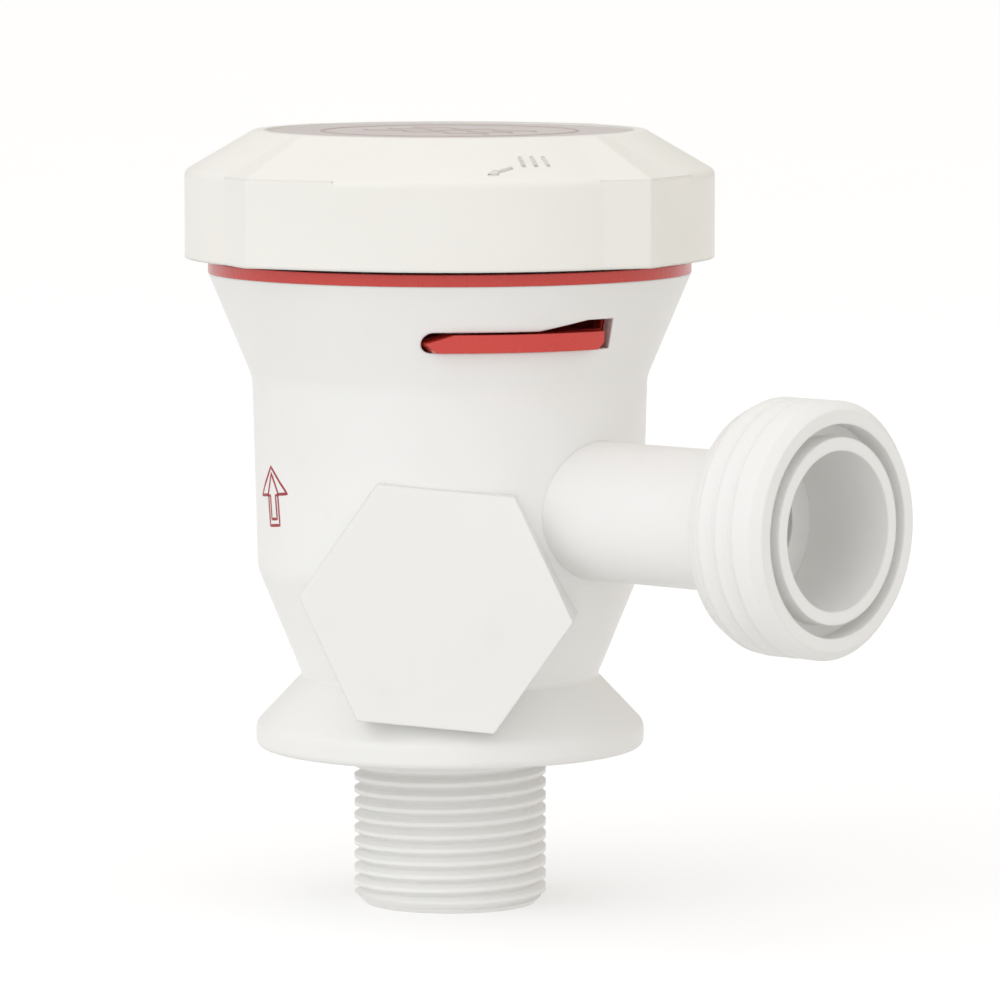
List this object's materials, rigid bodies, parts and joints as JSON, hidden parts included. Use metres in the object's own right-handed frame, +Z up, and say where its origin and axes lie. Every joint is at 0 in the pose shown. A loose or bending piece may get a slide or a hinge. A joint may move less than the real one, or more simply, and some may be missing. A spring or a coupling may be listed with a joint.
{
  "type": "screw-down angle valve",
  "caption": "Screw-down angle valve with a ribbed round knob, threaded inlet spud below a flange, hexagonal wrench bosses and a threaded side outlet.",
  "frame": {"origin": "centre of the flange's underside, on the inlet's axis", "axes": "+Z up along the inlet spud and the knob's axis, +X along the outlet branch"},
  "size_m": [0.1062, 0.0764, 0.1065],
  "materials": {
    "body_white": "satin moulded polymer",
    "knob_white": "satin moulded polymer, a little warmer",
    "cap_grey": "satin moulded polymer",
    "bonnet_red": "gloss moulded polymer",
    "acetal": "natural acetal, turned",
    "rubber": "black nitrile rubber",
    "brass": "turned brass",
    "stainless": "stainless steel",
    "spindle_steel": "turned stainless steel"
  },
  "bodies": {
    "body": {"valve_body": "body_white", "bonnet": "bonnet_red", "bonnet_o_ring": "rubber", "spindle_nut": "brass", "nut_circlip": "stainless", "gland_bush": "acetal", "gland_o_rings": "rubber"},
    "plunger": {"plunger": "acetal", "seat_washer": "rubber", "seat_washer_plate": "stainless", "seat_screw": "stainless"},
    "knob": {"knob": "knob_white", "knob_cap": "cap_grey", "knob_screw": "stainless", "knob_screw_washer": "stainless", "knob_drive_insert": "brass", "spindle": "spindle_steel", "swivel_clip": "stainless", "thrust_washer": "acetal", "travel_stop_ring": "stainless"}
  },
  "joints": [
    {"name": "plunger_lift", "type": "slide", "parent": "body", "child": "plunger", "axis": [0, 0, 1], "range_m": [0, 0.008]},
    {"name": "knob_turn", "type": "hinge", "parent": "plunger", "child": "knob", "pos_m": [0, 0, 0.03], "axis": [0, 0, 1], "range_deg": [0, 360]}
  ],
  "couplings": [
    {"joint": "plunger_lift", "follows": "knob_turn", "m_per_rad": 0.0012732}
  ]
}
